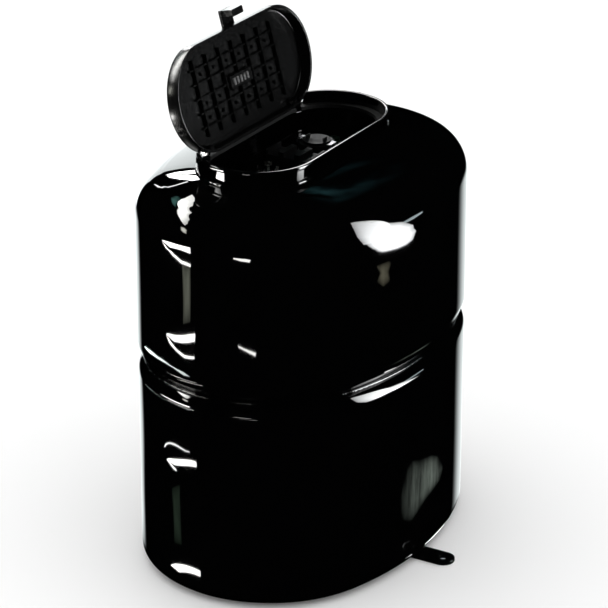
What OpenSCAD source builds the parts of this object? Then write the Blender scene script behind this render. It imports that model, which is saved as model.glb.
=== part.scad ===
/* Hermetic refrigeration compressor with an oval welded shell.
   Origin: centre of the two hold-down holes, on the floor plane. +Z is up,
   X runs along the long axis of the oval. All lengths are in millimetres. */

/* [Shell] */
// Half the length of the oval, along X
half_len = 164; // [156:1:174]
// Half the width of the oval, along Y
half_wid = 119; // [116:1:124]
// Radius of the two narrow ends of the oval
end_r = 110; // [107:1:112]
// Thickness of the drawn steel shell
shell_t = 3.2; // [2.5:0.1:4]
// Height of the girth seam
seam_z = 184; // [178:1:190]
// Height at which the upper wall starts to turn into the shoulder
wall_top = 311; // [306:1:314]
// Radius of the shoulder
shoulder_r = 30; // [26:1:34]
// Slope of the dome where it meets the shoulder, in degrees
dome_slope = 18; // [14:1:20]
// Radius of the rounded bottom edge
bottom_r = 10; // [8:1:14]
// How deep the lips turn in at the seam
lip_in = 6.5; // [5:0.5:8]

/* [Base] */
// Thickness of the base plate
base_t = 3; // [2:0.5:5]
// Distance of each hold-down hole from the centre
lug_y = 136; // [133:1:142]
// Radius of the hold-down holes
lug_hole_r = 3.3; // [2.5:0.1:4.5]
// Radius of the rounded end of each lug
lug_r = 10; // [8:1:12]

/* [Terminal box] */
// Centre of the terminal box along X
box_x = -7; // [-10:1:-4]
// Centre of the terminal box along Y
box_y = 5; // [2:0.5:6]
// Half the straight length of the obround box
box_c = 57; // [55:1:58]
// Inner radius of the round ends of the box
box_r = 46.8; // [46:0.2:48]
// Wall thickness of the box
box_t = 2.2; // [1.5:0.1:3]
// Height of the rim
rim_z = 363; // [361:0.5:365]
// Height of the underside of the floor of the box
box_floor_z = 329; // [326:1:332]

/* [Terminal cover] */
// Radius of the round ends of the cover
cover_r = 44.6; // [44:0.2:45]
// Depth of the cover over its skirt
cover_d = 12.5; // [11.5:0.5:13]
// How far past upright the open cover leans
cover_lean = 15; // [12:0.5:16]

/* [Pump and motor] */
// Centre line of the shaft along X
shaft_x = -45; // [-48:1:-42]
// Radius of the bearing journals
journal_r = 14; // [13:0.5:15]
// Bore radius of the pump cylinder
bore_r = 32; // [31:0.5:33]
// Throw of the eccentric
throw = 5.5; // [5:0.5:6]
// Radial running clearance
run_gap = 0.03; // [0.02:0.01:0.06]
// Outer radius of the stator
stator_r = 92; // [88:1:94]

/* [Hidden] */
$fn = 96;
end_c = half_len - end_r;
side_off = (end_c * end_c - pow(half_wid - end_r, 2)) / (2 * (half_wid - end_r));
side_r = half_wid + side_off;
phi = atan2(side_off, end_c);
crown_in = 100;
knee_in = shoulder_r * (1 - sin(dome_slope));
knee_z = wall_top + shoulder_r * cos(dome_slope);
crown_r = (crown_in - knee_in) / sin(dome_slope);
apex_z = knee_z + crown_r * (1 - cos(dome_slope));
lip_up_r = 18;
lip_down_r = 12;
lip_up_a = acos(1 - lip_in / lip_up_r);
lip_down_a = acos(1 - lip_in / lip_down_r);
weld_h = 1.5;
floor_z = base_t;

// Number of chords in each rounded corner and in each arc of the oval
arc_n = 6;
oval_n = 14;

// Base plate: how far its edge lies inside the shell, and where the lugs leave it
plate_in = 16;
lug_root = 90;

// Seating heights inside the terminal box
ledge_z = rim_z - 15;
gasket_z = ledge_z + 2;
gasket_top = gasket_z + 3;
box_floor = box_floor_z + 2.5;
opening_r = 40;
rim_bead = 1.2;

// Pieces inside the terminal box
terminal_x = box_x - 42;
pin_circle = 8;
block_x = box_x + 2;
protector_x = box_x + 36;
screw_x = box_x + 66;
outlet_z = rim_z - 7;

// Low stretch of the back wall, where the open cover stands
notch_floor = rim_z - 10;
notch_y = 39.5;
notch_len = 180;

// Hinge of the cover, in the closed position of the cover
hinge_y = box_y + 40.3;
hinge_z = rim_z - 3.2;
closed_lip = gasket_top + 0.5;
open_angle = 90 + cover_lean;
hinge_x = box_c + 6;
pin_r = 1.6;
pin_hole_r = pin_r + 0.05;
ear_x = hinge_x + 7.5;
ear_t = 2.5;

// Thickness of the cover, and the hook in the middle of its free edge
cover_wall = 2.4;
cover_roof = 2.6;
hook_x = box_x - 1;
hook_y = box_y - cover_r - 12.8;
hook_w = 16;

// Tube stubs: outer and socket radii, and where they leave the shell
suction_r = 12.7;
suction_in = 11.15;
discharge_r = 8;
discharge_in = 6.4;
process_r = 4.8;
process_in = 3.2;
stub_wall_y = 96;
discharge_x = 20;
discharge_z = 290;
inlet_z = 270;
process_z = 60;

// Pump heights
pump_z0 = 58;
pump_z1 = 92;
plate_z0 = 102;
plate_z1 = 110;
pin_off_r = journal_r + throw + 0.2;
roller_r = bore_r - throw - run_gap;
port_z = 75;
block_r = 72;
bearing_r = 70;
low_bearing_r = 58;
vane_a = -40;
vane_t = 4;
spring_turns = 4;

// Discharge port and its reed valve
reed_a = vane_a - 22;
reed_z = pump_z1 + 5;
port_x = 28;

// Bolt circles of the pump, and the holes for their bolts
bolt_circle = 66;
bolt_hole_r = 3.1;
low_circle = 50;
low_hole_r = 2.6;

// Motor
rotor_z0 = 167;
rotor_z1 = 253;
stack_z0 = 165;
stack_z1 = 255;
rotor_r = 48.5;
air_gap = 0.7;
turn_h = 32;
turn_low_h = 30;
turn_in = 54;
turn_w = 28;
lead_r = 1.4;

// Accumulator and its pipes
acc_x = 108;
acc_r = 40;
acc_z0 = 122;
acc_z1 = 240;
pipe_r = 8;
pipe_in = 6.5;
inlet_foot = 224;
outlet_top = 136;

black = [0.02, 0.02, 0.022];
steel = [0.62, 0.63, 0.65];
copper = [0.72, 0.4, 0.24];
iron = [0.36, 0.36, 0.37];

// ---------- outline helpers ----------

// Points of an arc of radius r about c, from angle a to angle b
function arc(c, r, a, b, n = arc_n) =
  [for (i = [0:n]) c + r * [cos(a + (b - a) * i / n), sin(a + (b - a) * i / n)]];

// Unit normal of a path at point i, on its left side
function normal(p, i) =
  let (d = p[min(i + 1, len(p) - 1)] - p[max(i - 1, 0)]) [-d[1], d[0]] / norm(d);

// A path moved sideways by w
function beside(p, w) = [for (i = [0:len(p) - 1]) p[i] + w * normal(p, i)];

// The same path from its other end
function reversed(p) = [for (i = [len(p) - 1:-1:0]) p[i]];

// The same arc without its last point, so that arcs join end to end
function open_arc(c, r, a, b, n) =
  [for (i = [0:n - 1]) c + r * [cos(a + (b - a) * i / n), sin(a + (b - a) * i / n)]];

// Points of the four-centre oval, moved inward by t
function oval(t, n = oval_n) = concat(
  open_arc([end_c, 0], end_r - t, -phi, phi, n),
  open_arc([0, -side_off], side_r - t, phi, 180 - phi, n),
  open_arc([-end_c, 0], end_r - t, 180 - phi, 180 + phi, n),
  open_arc([0, side_off], side_r - t, 180 + phi, 360 - phi, n));

// Drawn cup swept round the oval. Paths hold [inset, height] points: the first
// runs from the lip to the middle of the cup, the second runs back to the lip.
module cup(first, second) {
  path = concat(first, second);
  m = len(path);
  n = 4 * oval_n;
  polyhedron(
    points = [for (p = path) for (q = oval(p[0])) [q[0], q[1], p[1]]],
    faces = concat(
      [for (i = [0:m - 1]) if (i != len(first) - 1) for (k = [0:n - 1])
        let (j = (i + 1) % m, l = (k + 1) % n) [i * n + k, j * n + k, j * n + l, i * n + l]],
      [[for (k = [n - 1:-1:0]) (len(first) - 1) * n + k]],
      [[for (k = [0:n - 1]) len(first) * n + k]]));
}

// Flat plate with the oval's outline moved inward by t
module oval_plate(t, z0, z1) {
  translate([0, 0, z0]) linear_extrude(z1 - z0) polygon(oval(t));
}

// Solid with straight sides and round ends, centred on the terminal box
module obround(r, z0, z1) {
  translate([box_x, box_y, z0]) {
    translate([-box_c, -r, 0]) cube([2 * box_c, 2 * r, z1 - z0]);
    for (s = [-1, 1]) translate([s * box_c, 0, 0]) cylinder(r = r, h = z1 - z0);
  }
}

// Round collar with outer radius r1 and inner radius r0
module ring(r1, r0, z0, z1) {
  difference() {
    translate([0, 0, z0]) cylinder(r = r1, h = z1 - z0);
    translate([0, 0, z0 - 1]) cylinder(r = r0, h = z1 - z0 + 2);
  }
}

// Children at each of the angles, turned about Z
module around(angles) for (a = angles) rotate([0, 0, a]) children();

// Children placed on the shaft's centre line
module on_shaft() { translate([shaft_x, 0, 0]) children(); }

// Circle of n points about point i of a path that runs mostly across X
function ring_at(p, i, r, n) =
  let (d = p[min(i + 1, len(p) - 1)] - p[max(i - 1, 0)],
       w = d / norm(d),
       u0 = cross(w, [1, 0, 0]),
       u = u0 / norm(u0),
       v = cross(w, u))
  [for (k = [0:n - 1]) p[i] + r * (cos(360 * k / n) * u + sin(360 * k / n) * v)];

// Round wire or tube along a path, as one closed mesh
module wire(p, r, n = 8) {
  m = len(p);
  polyhedron(
    points = [for (i = [0:m - 1]) for (q = ring_at(p, i, r, n)) q],
    faces = concat(
      [for (i = [0:m - 2]) for (k = [0:n - 1])
        [i * n + k, i * n + (k + 1) % n, (i + 1) * n + (k + 1) % n, (i + 1) * n + k]],
      [[for (k = [n - 1:-1:0]) k]],
      [[for (k = [0:n - 1]) (m - 1) * n + k]]));
}

// ---------- welded shell ----------

lip_up_z = seam_z + weld_h + lip_up_r * sin(lip_up_a);
lip_down_z = seam_z - weld_h - lip_down_r * sin(lip_down_a);
upper_path = concat(
  arc([lip_up_r, lip_up_z], lip_up_r, 180 + lip_up_a, 180, 3),
  arc([shoulder_r, wall_top], shoulder_r, 180, 90 + dome_slope, arc_n),
  [for (i = [1:4]) let (a = dome_slope * (1 - i / 4))
    [crown_in - crown_r * sin(a), apex_z - crown_r * (1 - cos(a))]]);
lower_path = concat(
  [[crown_in, floor_z]],
  arc([bottom_r, floor_z + bottom_r], bottom_r, 270, 180, arc_n),
  arc([lip_down_r, lip_down_z], lip_down_r, 180, 180 - lip_down_a, 3));

module upper_shell() color(black) {
  difference() {
    cup(upper_path, reversed(beside(upper_path, -shell_t)));
    obround(box_r + box_t + 0.1, box_floor_z - 5, apex_z + 10);
    suction_axis() cylinder(r = suction_r + 0.05, h = 60, center = true);
    discharge_axis() cylinder(r = discharge_r + 0.05, h = 60, center = true);
  }
}

module lower_shell() color(black) {
  difference() {
    cup(reversed(beside(lower_path, -shell_t)), lower_path);
    process_axis() cylinder(r = process_r + 0.05, h = 60, center = true);
  }
}

module girth_weld() color(black) difference() {
  oval_plate(lip_in - 1.5, seam_z - weld_h, seam_z + weld_h);
  oval_plate(lip_in + 2.5, seam_z - weld_h - 1, seam_z + weld_h + 1);
}

module base_plate() color(black) {
  difference() {
    union() {
      oval_plate(plate_in, 0, base_t);
      for (s = [-1, 1]) {
        translate([-lug_r, min(s * lug_root, s * lug_y), 0]) cube([2 * lug_r, lug_y - lug_root, base_t]);
        translate([0, s * lug_y, 0]) cylinder(r = lug_r, h = base_t);
      }
    }
    for (s = [-1, 1]) translate([0, s * lug_y, -1]) cylinder(r = lug_hole_r, h = base_t + 2);
  }
}

// ---------- terminal box on the dome ----------

// Children on the centre line of the hinge, pointing outward at each side
module hinge_sides(x) {
  for (s = [-1, 1]) translate([box_x + s * x, hinge_y, hinge_z]) rotate([0, s * 90, 0]) children();
}

module terminal_box() color(black) {
  difference() {
    union() {
      obround(box_r + box_t, box_floor_z, rim_z);
      obround(box_r + box_t + rim_bead, rim_z - 3, rim_z);
    }
    obround(box_r, gasket_z, rim_z + 1);
    obround(opening_r, box_floor, rim_z);
    translate([box_x - notch_len / 2, box_y + notch_y, notch_floor]) cube([notch_len, 20, 20]);
    // holes for the hermetic terminal, the ground screw and the cable outlet
    translate([terminal_x, box_y, box_floor_z - 1]) cylinder(r = 17, h = 5);
    translate([screw_x, box_y, box_floor_z - 1]) cylinder(r = 2.05, h = 5);
    translate([box_x + box_c + opening_r - 3, box_y, outlet_z]) rotate([0, 90, 0]) cylinder(r = 4, h = 20);
    hinge_sides(hinge_x) cylinder(r = pin_r + 0.06, h = 22);
  }
}

module hinge_ears() color(black)
  for (s = [-1, 1]) translate([box_x, hinge_y, 0]) difference() {
    translate([min(s * ear_x, s * (ear_x + ear_t)), -3.4, gasket_z])
      cube([ear_t, 5.2, rim_z - gasket_z - 0.8]);
    translate([0, 0, hinge_z]) rotate([0, s * 90, 0]) cylinder(r = pin_hole_r, h = 90);
  }

module box_gasket() color([0.05, 0.05, 0.05]) difference() {
  obround(box_r - 0.4, gasket_z, gasket_top);
  obround(opening_r + 0.3, gasket_z - 1, gasket_top + 1);
  for (s = [-1, 1]) translate([box_x + s * (ear_x + 1) - 2.5, hinge_y - 4.5, gasket_z - 1]) cube([5, 10, 8]);
}

// The cover in its closed position
module closed_cover() {
  top = closed_lip + cover_d;
  difference() {
    union() {
      obround(cover_r, closed_lip, top - 3);
      obround(cover_r - 1, top - 3, top - 1.2);
      obround(cover_r - 3, top - 1.2, top);
      // latch hook over the rim
      translate([hook_x, hook_y, rim_z + 0.4]) cube([hook_w, 14.8, 3.2]);
      translate([hook_x, hook_y, rim_z - 11]) cube([hook_w, 6, 12]);
    }
    obround(cover_r - cover_wall, closed_lip - 1, top - cover_roof);
    // lower edge cut back beside the hinge, to swing clear of the gasket
    translate([box_x - notch_len / 2, box_y + 38, closed_lip - 1]) cube([notch_len, 10, 2.6]);
    hinge_sides(0) cylinder(r = pin_hole_r, h = 80);
    // relief over the hinge ears
    for (s = [-1, 1]) translate([box_x + s * (ear_x + 1.2) - 2, box_y + 30, closed_lip - 1])
      cube([4, 25, cover_d - 2]);
  }
  // stiffening ribs under the top
  for (x = [-60:20:60]) translate([box_x + x - 0.8, box_y - 32, top - 6]) cube([1.6, 64, 4.5]);
  for (y = [-24:12:24]) translate([box_x - 66, box_y + y - 0.8, top - 5]) cube([132, 1.6, 3.5]);
  // hinge bosses
  hinge_sides(hinge_x + 1) difference() {
    cylinder(r = 3.2, h = 4.5);
    translate([0, 0, -1]) cylinder(r = pin_hole_r, h = 10);
  }
}

module terminal_cover() color(black)
  translate([0, hinge_y, hinge_z]) rotate([-open_angle, 0, 0]) translate([0, -hinge_y, -hinge_z])
    closed_cover();

module hinge_pins() color(steel)
  hinge_sides(hinge_x) cylinder(r = pin_r, h = 14);

module hermetic_terminal() color(steel) translate([terminal_x, box_y, 0]) difference() {
  union() {
    translate([0, 0, box_floor - 8]) cylinder(r = 16.9, h = 8);
    translate([0, 0, box_floor]) cylinder(r = 20, h = 2);
  }
  translate([0, 0, box_floor - 9]) cylinder(r = 14.5, h = 8);
  around([30:120:270]) translate([pin_circle, 0, box_floor - 2]) cylinder(r = 3, h = 6);
}

module terminal_glass() color([0.3, 0.5, 0.6]) translate([terminal_x, box_y, 0])
  around([30:120:270]) translate([pin_circle, 0, 0]) ring(2.95, 1.2, box_floor - 1, box_floor + 3);

module terminal_pins() color(steel) translate([terminal_x, box_y, 0])
  around([30:120:270]) translate([pin_circle, 0, 0]) {
    translate([0, 0, box_floor - 14]) cylinder(r = 1.15, h = 25);
    translate([-0.4, -3, box_floor + 11]) cube([0.8, 6, 3.5]);
  }

module terminal_block() color([0.12, 0.12, 0.12]) translate([block_x, box_y, box_floor]) difference() {
  translate([-11, -22, 0]) cube([22, 44, 13]);
  for (y = [-15, 0, 15]) translate([-12, y - 5, 9]) cube([24, 10, 5]);
  for (y = [-15, 0, 15]) translate([0, y, 3]) cylinder(r = 1.6, h = 8);
}

module overload_protector() color([0.1, 0.1, 0.1]) translate([protector_x, box_y, box_floor]) {
  cylinder(r = 15, h = 10);
  translate([0, 0, 10]) cylinder(r = 12, h = 2);
  for (s = [-1, 1]) translate([-3, s * 8 - 0.4, 12]) cube([6, 0.8, 2.8]);
}

module protector_clip() color(steel) translate([protector_x, box_y, box_floor]) {
  for (s = [-1, 1]) translate([-5, s * 15.8 - 0.6, 0]) cube([10, 1.2, 11]);
  for (s = [-1, 1]) translate([-5, s * 13.6 - 1.6, 10.2]) cube([10, 3.2, 0.8]);
}

module ground_screw() color([0.2, 0.55, 0.3]) translate([screw_x, box_y, 0]) {
  translate([0, 0, box_floor_z - 4]) cylinder(r = 2, h = 7);
  translate([0, 0, box_floor]) ring(5, 2, 0, 1);
  difference() {
    translate([0, 0, box_floor + 1]) cylinder(r = 4.4, h = 3);
    translate([-6, -0.5, box_floor + 3]) cube([12, 1, 2]);
  }
}

module lead_grommet() color([0.06, 0.06, 0.06])
  translate([box_x + box_c + box_r, box_y, outlet_z]) rotate([0, 90, 0]) difference() {
    union() {
      cylinder(r = 3.95, h = 3.6);
      translate([0, 0, 3.6]) cylinder(r = 6, h = 2);
    }
    translate([0, 0, -1]) cylinder(r = 2.5, h = 8);
  }

// ---------- tube stubs ----------

// Children on the centre line of each stub, pointing out of the shell
module suction_axis() translate([acc_x, stub_wall_y, inlet_z]) rotate([-90, 0, 0]) children();
module discharge_axis() translate([discharge_x, half_wid, discharge_z]) rotate([-90, 0, 0]) children();
module process_axis() translate([half_len, 0, process_z]) rotate([0, 90, 0]) children();

// A stub through the wall, with a socket of the stated depth that ends at a stop
module stub(r, hole, inner, outer, depth) {
  difference() {
    translate([0, 0, -inner]) cylinder(r = r, h = inner + outer);
    translate([0, 0, -inner - 1]) cylinder(r = hole - 1, h = inner + outer + 2);
    translate([0, 0, outer - depth]) cylinder(r = hole, h = depth + 1);
  }
}

module suction_stub() color(copper) suction_axis() stub(suction_r, suction_in, 6, 46, 38);
module discharge_stub() color(copper) discharge_axis() stub(discharge_r, discharge_in, 8, 34, 30);
module process_stub() color(copper) process_axis() stub(process_r, process_in, 8, 26, 22);

// ---------- frame inside the shell ----------

module stay_plate() color(iron) difference() {
  oval_plate(shell_t + 0.4, plate_z0, plate_z1);
  on_shaft() translate([0, 0, plate_z0 - 1]) cylinder(r = 62, h = 20);
  translate([acc_x, 0, plate_z0 - 1]) cylinder(r = 16, h = 20);
  on_shaft() around([30:60:330]) translate([bolt_circle, 0, plate_z0 - 1]) cylinder(r = bolt_hole_r, h = 20);
  for (s = [-1, 1]) translate([55, s * 70, plate_z0 - 1]) cylinder(r = 14, h = 20);
}

module stator_sleeve() color(iron) on_shaft() {
  ring(stator_r + 4, stator_r, 142, stack_z1 + 6);
  around([45:90:315]) translate([stator_r - 1.5, -12, plate_z1]) cube([5, 24, 34]);
}

module stator_core() color(steel) on_shaft() difference() {
  translate([0, 0, stack_z0]) cylinder(r = stator_r, h = stack_z1 - stack_z0);
  translate([0, 0, stack_z0 - 1]) cylinder(r = rotor_r + air_gap, h = stack_z1 - stack_z0 + 2);
  around([0:60:300]) translate([stator_r + 2, 0, stack_z0 - 1]) cylinder(r = 6, h = 120);
}

// One end turn of the winding
module end_turn(z0, h) on_shaft() rotate_extrude() translate([turn_in, z0]) square([turn_w, h]);

module upper_winding() color(copper) end_turn(stack_z1, turn_h);
module lower_winding() color(copper) end_turn(stack_z0 - turn_low_h, turn_low_h);

module winding_ties() color([0.9, 0.88, 0.8]) on_shaft()
  around([0:30:330]) translate([turn_in - 1, -1.5, stack_z1 + turn_h]) cube([turn_w + 2, 3, 0.8]);

// Three leads from the winding up to the terminal pins
module motor_leads() color([0.8, 0.75, 0.6])
  for (a = [30:120:270])
    let (x = terminal_x + pin_circle * cos(a),
         y = box_y + pin_circle * sin(a),
         u = terminal_x + 1.3 * pin_circle * cos(a),
         mid = (u + x) / 2)
    wire([[u, 66, 289.5], [u, 65, 295], [u, 61, 301], [mid, 48, 306], [mid, 32, 308],
      [x, y + 9, 309], [x, y + 3, 311], [x, y, 314], [x, y, 317.2]], lead_r);

// ---------- rotor and shaft ----------

module rotor_core() color(steel) on_shaft() ring(rotor_r, journal_r, rotor_z0, rotor_z1);

module rotor_end_rings() color([0.8, 0.8, 0.82]) on_shaft() {
  ring(47, 28, rotor_z0 - 8, rotor_z0);
  ring(47, 28, rotor_z1, rotor_z1 + 8);
}

module balance_weights() color([0.75, 0.6, 0.3]) on_shaft() {
  translate([0, 0, rotor_z1 + 8]) rotate([0, 0, 105]) rotate_extrude(angle = 150)
    translate([30, 0]) square([16, 14]);
  translate([0, 0, rotor_z0 - 20]) rotate([0, 0, -75]) rotate_extrude(angle = 150)
    translate([30, 0]) square([16, 12]);
}

module crankshaft() color(steel) on_shaft() {
  difference() {
    union() {
      translate([0, 0, 28]) cylinder(r = journal_r, h = 242);
      translate([throw, 0, pump_z0 + 2]) cylinder(r = pin_off_r, h = pump_z1 - pump_z0 - 4);
    }
    translate([0, 0, 27]) cylinder(r = 5, h = 60);
    translate([0, 0, port_z]) rotate([0, 90, 0]) cylinder(r = 2, h = 40);
  }
}

module oil_paddle() color(steel) on_shaft() translate([-4.5, -0.5, 20]) cube([9, 1, 40]);

// ---------- pump ----------

module upper_bearing() color(iron) on_shaft() difference() {
  union() {
    translate([0, 0, pump_z1]) cylinder(r = bearing_r, h = plate_z0 - pump_z1);
    translate([0, 0, plate_z0]) cylinder(r = 24, h = 48);
  }
  translate([0, 0, pump_z1 - 1]) cylinder(r = journal_r + run_gap, h = 60);
  around([30:60:330]) translate([bolt_circle, 0, pump_z1 - 1]) cylinder(r = bolt_hole_r, h = 20);
  // discharge port and the pocket of its reed valve
  rotate([0, 0, reed_a]) translate([port_x, 0, pump_z1 - 1]) cylinder(r = 3.5, h = 20);
  rotate([0, 0, reed_a]) translate([port_x - 6, -7, reed_z]) cube([36, 14, 8]);
}

module lower_bearing() color(iron) on_shaft() difference() {
  union() {
    translate([0, 0, pump_z0 - 10]) cylinder(r = low_bearing_r, h = 10);
    translate([0, 0, 32]) cylinder(r = 22, h = 18);
  }
  translate([0, 0, 31]) cylinder(r = journal_r + run_gap, h = 40);
  around([0:60:300]) translate([low_circle, 0, pump_z0 - 11]) cylinder(r = bolt_hole_r, h = 20);
}

module cylinder_part() color(iron) on_shaft() difference() {
  translate([0, 0, pump_z0]) cylinder(r = block_r, h = pump_z1 - pump_z0);
  translate([0, 0, pump_z0 - 1]) cylinder(r = bore_r, h = 50);
  // vane slot and spring bore
  rotate([0, 0, vane_a]) translate([bore_r - 4, -vane_t / 2 - run_gap, pump_z0 - 1])
    cube([30, vane_t + 2 * run_gap, 50]);
  rotate([0, 0, vane_a]) translate([57, 0, port_z]) rotate([0, 90, 0]) cylinder(r = 4.5, h = 20);
  // suction port
  translate([bore_r - 4, 0, port_z]) rotate([0, 90, 0]) cylinder(r = pipe_r + 0.05, h = 60);
  // bolt holes through, tapped holes for the lower bearing
  around([30:60:330]) translate([bolt_circle, 0, pump_z0 - 1]) cylinder(r = bolt_hole_r, h = 60);
  around([0:60:300]) translate([low_circle, 0, pump_z0 - 1]) cylinder(r = low_hole_r, h = 12);
}

module roller() color(steel) on_shaft() translate([throw, 0, 0])
  ring(roller_r, pin_off_r + run_gap, pump_z0 + 0.05, pump_z1 - 0.05);

module vane() color(steel) on_shaft() rotate([0, 0, vane_a])
  translate([bore_r + 0.2, -vane_t / 2, pump_z0 + 0.05]) cube([25, vane_t, pump_z1 - pump_z0 - 0.1]);

module vane_spring() color(steel) on_shaft() rotate([0, 0, vane_a]) {
  steps = spring_turns * 12;
  wire([for (i = [0:steps]) [58.6 + 11 * i / steps, 3.3 * cos(30 * i), port_z + 3.3 * sin(30 * i)]], 0.6, 6);
}

module discharge_reed() color(steel) on_shaft() rotate([0, 0, reed_a])
  translate([port_x, 0, reed_z + 0.02]) {
    cylinder(r = 5, h = 0.4);
    translate([0, -3, 0]) cube([18, 6, 0.4]);
  }

module reed_stop() color(steel) on_shaft() rotate([0, 0, reed_a]) {
  translate([port_x + 19, -4, reed_z + 0.01]) cube([10, 8, 4.4]);
  translate([port_x - 1, -4, reed_z + 4.2]) cube([22, 8, 1.4]);
}

module discharge_muffler() color(steel) on_shaft() {
  ring(58, 56.5, plate_z0, plate_z0 + 22);
  ring(58, 24.1, plate_z0 + 22, plate_z0 + 24);
}

// Bolt with its shank from z0 upward and its head below
module bolt(z0, shank_r, shank_h, head_r, head_h) {
  translate([0, 0, z0]) cylinder(r = shank_r, h = shank_h);
  translate([0, 0, z0 - head_h]) cylinder(r = head_r, h = head_h, $fn = 6);
}

module pump_bolts() color(steel) on_shaft()
  around([30:60:330]) translate([bolt_circle, 0, 0]) bolt(pump_z0, 3, plate_z1 + 2 - pump_z0, 5.4, 5);

module lower_bolts() color(steel) on_shaft()
  around([0:60:300]) translate([low_circle, 0, 0]) bolt(pump_z0 - 10, 2.55, 20, 4.6, 4);

// ---------- suction side ----------

module accumulator() color(black) translate([acc_x, 0, 0]) difference() {
  union() {
    translate([0, 0, acc_z0 + 8]) cylinder(r = acc_r, h = acc_z1 - acc_z0 - 16);
    translate([0, 0, acc_z0]) cylinder(r1 = acc_r - 12, r2 = acc_r, h = 8);
    translate([0, 0, acc_z1 - 8]) cylinder(r1 = acc_r, r2 = acc_r - 12, h = 8);
  }
  translate([0, 0, acc_z0 + 9]) cylinder(r = acc_r - 2, h = acc_z1 - acc_z0 - 18);
  translate([0, 0, acc_z0 - 1]) cylinder(r = pipe_r + 0.05, h = 12);
  translate([0, 0, acc_z1 - 11]) cylinder(r = pipe_r + 0.05, h = 12);
}

// Pipe that goes up, turns a quarter circle and runs level
module bent_pipe(rise, turn_r, run) {
  difference() {
    union() {
      cylinder(r = pipe_r, h = rise);
      translate([turn_r, 0, rise]) rotate([90, 0, 180]) rotate_extrude(angle = 90)
        translate([turn_r, 0]) circle(r = pipe_r);
      translate([turn_r, 0, rise + turn_r]) rotate([0, 90, 0]) cylinder(r = pipe_r, h = run);
    }
    translate([0, 0, -1]) cylinder(r = pipe_in, h = rise + 1);
    translate([turn_r, 0, rise]) rotate([90, 0, 180]) rotate_extrude(angle = 90)
      translate([turn_r, 0]) circle(r = pipe_in);
    translate([turn_r, 0, rise + turn_r]) rotate([0, 90, 0]) cylinder(r = pipe_in, h = run + 1);
  }
}

module accumulator_inlet() color(copper)
  translate([acc_x, 0, inlet_foot]) rotate([0, 0, 90]) bent_pipe(inlet_z - inlet_foot - 22, 22, 66);

module pump_suction_pipe() color(copper)
  translate([acc_x, 0, outlet_top]) mirror([0, 0, 1]) rotate([0, 0, 180])
    bent_pipe(outlet_top - port_z - 24, 24, 62);

module accumulator_band() color(steel) {
  translate([acc_x, 0, 0]) ring(acc_r + 1.5, acc_r + 0.05, 150, 162);
  for (s = [-1, 1]) translate([acc_x - 6, s * (acc_r + 1.2) - 1, plate_z1]) cube([12, 2, 52]);
}

lower_shell();
upper_shell();
girth_weld();
base_plate();
terminal_box();
box_gasket();
terminal_cover();
hinge_pins();
hinge_ears();
hermetic_terminal();
terminal_glass();
terminal_pins();
terminal_block();
overload_protector();
protector_clip();
ground_screw();
lead_grommet();
suction_stub();
discharge_stub();
process_stub();
stay_plate();
stator_sleeve();
stator_core();
upper_winding();
lower_winding();
winding_ties();
motor_leads();
rotor_core();
rotor_end_rings();
balance_weights();
crankshaft();
oil_paddle();
upper_bearing();
lower_bearing();
cylinder_part();  // cylinder
roller();
vane();
vane_spring();
discharge_reed();
reed_stop();
discharge_muffler();
pump_bolts();
lower_bolts();
accumulator();
accumulator_inlet();
pump_suction_pipe();
accumulator_band();
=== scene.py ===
import math

import bpy
from mathutils import Matrix, Vector

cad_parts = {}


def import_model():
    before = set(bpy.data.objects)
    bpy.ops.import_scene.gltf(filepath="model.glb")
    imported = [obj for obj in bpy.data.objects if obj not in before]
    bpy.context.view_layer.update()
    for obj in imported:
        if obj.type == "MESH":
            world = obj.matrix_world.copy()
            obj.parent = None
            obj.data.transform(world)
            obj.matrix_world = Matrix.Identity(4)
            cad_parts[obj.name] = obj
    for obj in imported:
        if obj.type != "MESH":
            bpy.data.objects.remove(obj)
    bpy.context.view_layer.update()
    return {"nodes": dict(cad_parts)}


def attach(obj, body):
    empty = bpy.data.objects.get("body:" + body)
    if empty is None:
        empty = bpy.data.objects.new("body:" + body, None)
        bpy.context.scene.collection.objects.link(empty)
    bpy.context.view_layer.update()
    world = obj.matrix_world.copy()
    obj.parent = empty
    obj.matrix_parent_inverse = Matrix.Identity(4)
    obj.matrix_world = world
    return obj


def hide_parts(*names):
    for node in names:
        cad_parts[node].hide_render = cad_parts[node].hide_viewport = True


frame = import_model()
nodes = frame["nodes"]
MM = 0.001

# ---------- dimensions of the part, in millimetres ----------

HALF_LEN, HALF_WID, END_R = 164.0, 119.0, 110.0
SHELL_T, BASE_T, BOTTOM_R = 3.2, 3.0, 10.0
SWAY = 0.14
SEAM_Z, WALL_TOP, SHOULDER_R = 184.0, 311.0, 30.0
DOME_SLOPE, CROWN_IN = math.radians(18), 100.0
LIP_IN, LIP_UP_R, LIP_DOWN_R, WELD_H = 6.5, 18.0, 12.0, 1.5

END_C = HALF_LEN - END_R
SIDE_OFF = (END_C ** 2 - (HALF_WID - END_R) ** 2) / (2 * (HALF_WID - END_R))
SIDE_R = HALF_WID + SIDE_OFF
PHI = math.atan2(SIDE_OFF, END_C)
KNEE_IN = SHOULDER_R * (1 - math.sin(DOME_SLOPE))
KNEE_Z = WALL_TOP + SHOULDER_R * math.cos(DOME_SLOPE)
CROWN_R = (CROWN_IN - KNEE_IN) / math.sin(DOME_SLOPE)
APEX_Z = KNEE_Z + CROWN_R * (1 - math.cos(DOME_SLOPE))

BOX_X, BOX_Y, BOX_C = -7.0, 5.0, 57.0
BOX_IN, BOX_OUT, BOX_RIM = 46.8, 49.0, 50.2
RIM_Z, LEDGE_Z, BOX_FLOOR, BOX_BOTTOM = 363.0, 350.0, 331.5, 329.0
WELL_R, NOTCH_Z = 40.0, 353.0
NOTCH_FROM, NOTCH_TO = math.radians(55), math.radians(125)

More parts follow.
